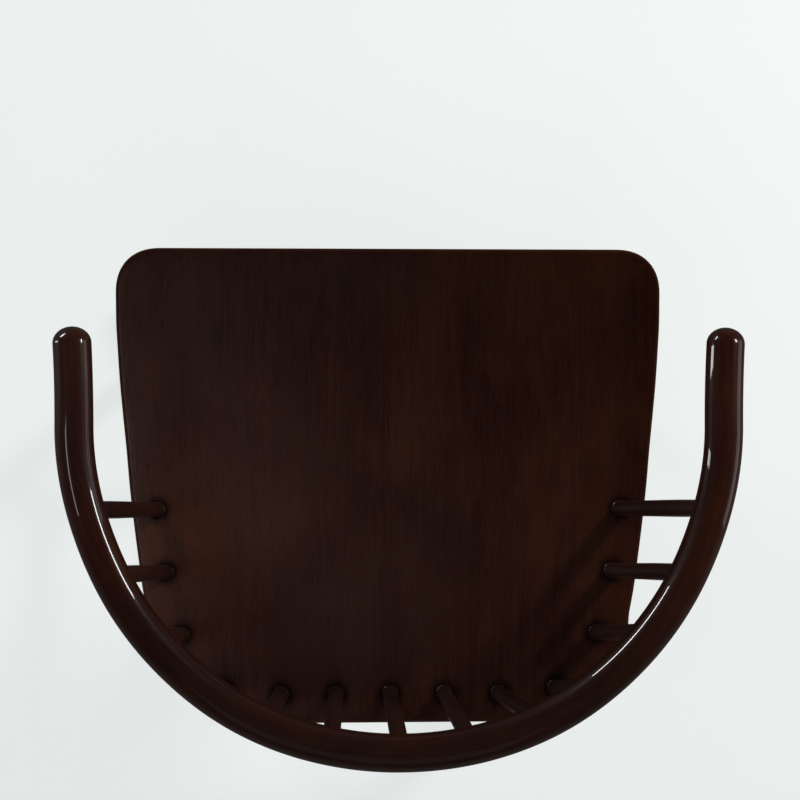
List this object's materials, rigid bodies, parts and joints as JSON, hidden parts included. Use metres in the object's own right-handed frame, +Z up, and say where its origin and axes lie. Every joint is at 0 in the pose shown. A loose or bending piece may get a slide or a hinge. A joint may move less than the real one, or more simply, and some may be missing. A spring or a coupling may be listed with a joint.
{
  "type": "rocking chair",
  "caption": "Low-back wooden rocking chair: flat seat panel, bent horseshoe arm bow on round spindles, turned legs, stretchers and two curved rockers.",
  "frame": {"origin": "middle of the bounding box in plan, at floor height", "axes": "+Z up, the sitter faces -Y, +X is the sitter's left; the chair is mirror-symmetric left to right"},
  "size_m": [0.632, 0.5524, 0.6741],
  "materials": {
    "seat_wood": "dark walnut stain under satin lacquer, straight open grain from front to rear, faint glue lines between boards",
    "bow_wood": "dark walnut stain under glossy lacquer, slightly redder where the stain is rubbed thin on the rounds",
    "spindle_wood": "dark walnut stain under semi-gloss lacquer, grain along the spindle",
    "base_wood": "dark walnut stain under semi-gloss lacquer, grain along each turned or sawn piece",
    "peg_wood": "dark stained end grain under satin lacquer"
  },
  "bodies": {
    "root": {"seat_panel": "seat_wood", "arm_bow": "bow_wood", "spindle_side_front_left": "spindle_wood", "spindle_side_front_right": "spindle_wood", "spindle_side_middle_left": "spindle_wood", "spindle_side_middle_right": "spindle_wood", "spindle_side_rear_left": "spindle_wood", "spindle_side_rear_right": "spindle_wood", "spindle_corner_left": "spindle_wood", "spindle_corner_right": "spindle_wood", "spindle_back_outer_left": "spindle_wood", "spindle_back_outer_right": "spindle_wood", "spindle_back_inner_left": "spindle_wood", "spindle_back_inner_right": "spindle_wood", "spindle_back_centre": "spindle_wood", "leg_front_left": "base_wood", "leg_front_right": "base_wood", "leg_rear_left": "base_wood", "leg_rear_right": "base_wood", "rocker_left": "base_wood", "rocker_right": "base_wood", "stretcher_left": "base_wood", "stretcher_right": "base_wood", "stretcher_front": "base_wood", "stretcher_rear": "base_wood", "peg_front_left": "peg_wood", "peg_front_right": "peg_wood", "peg_rear_left": "peg_wood", "peg_rear_right": "peg_wood"}
  },
  "joints": []
}
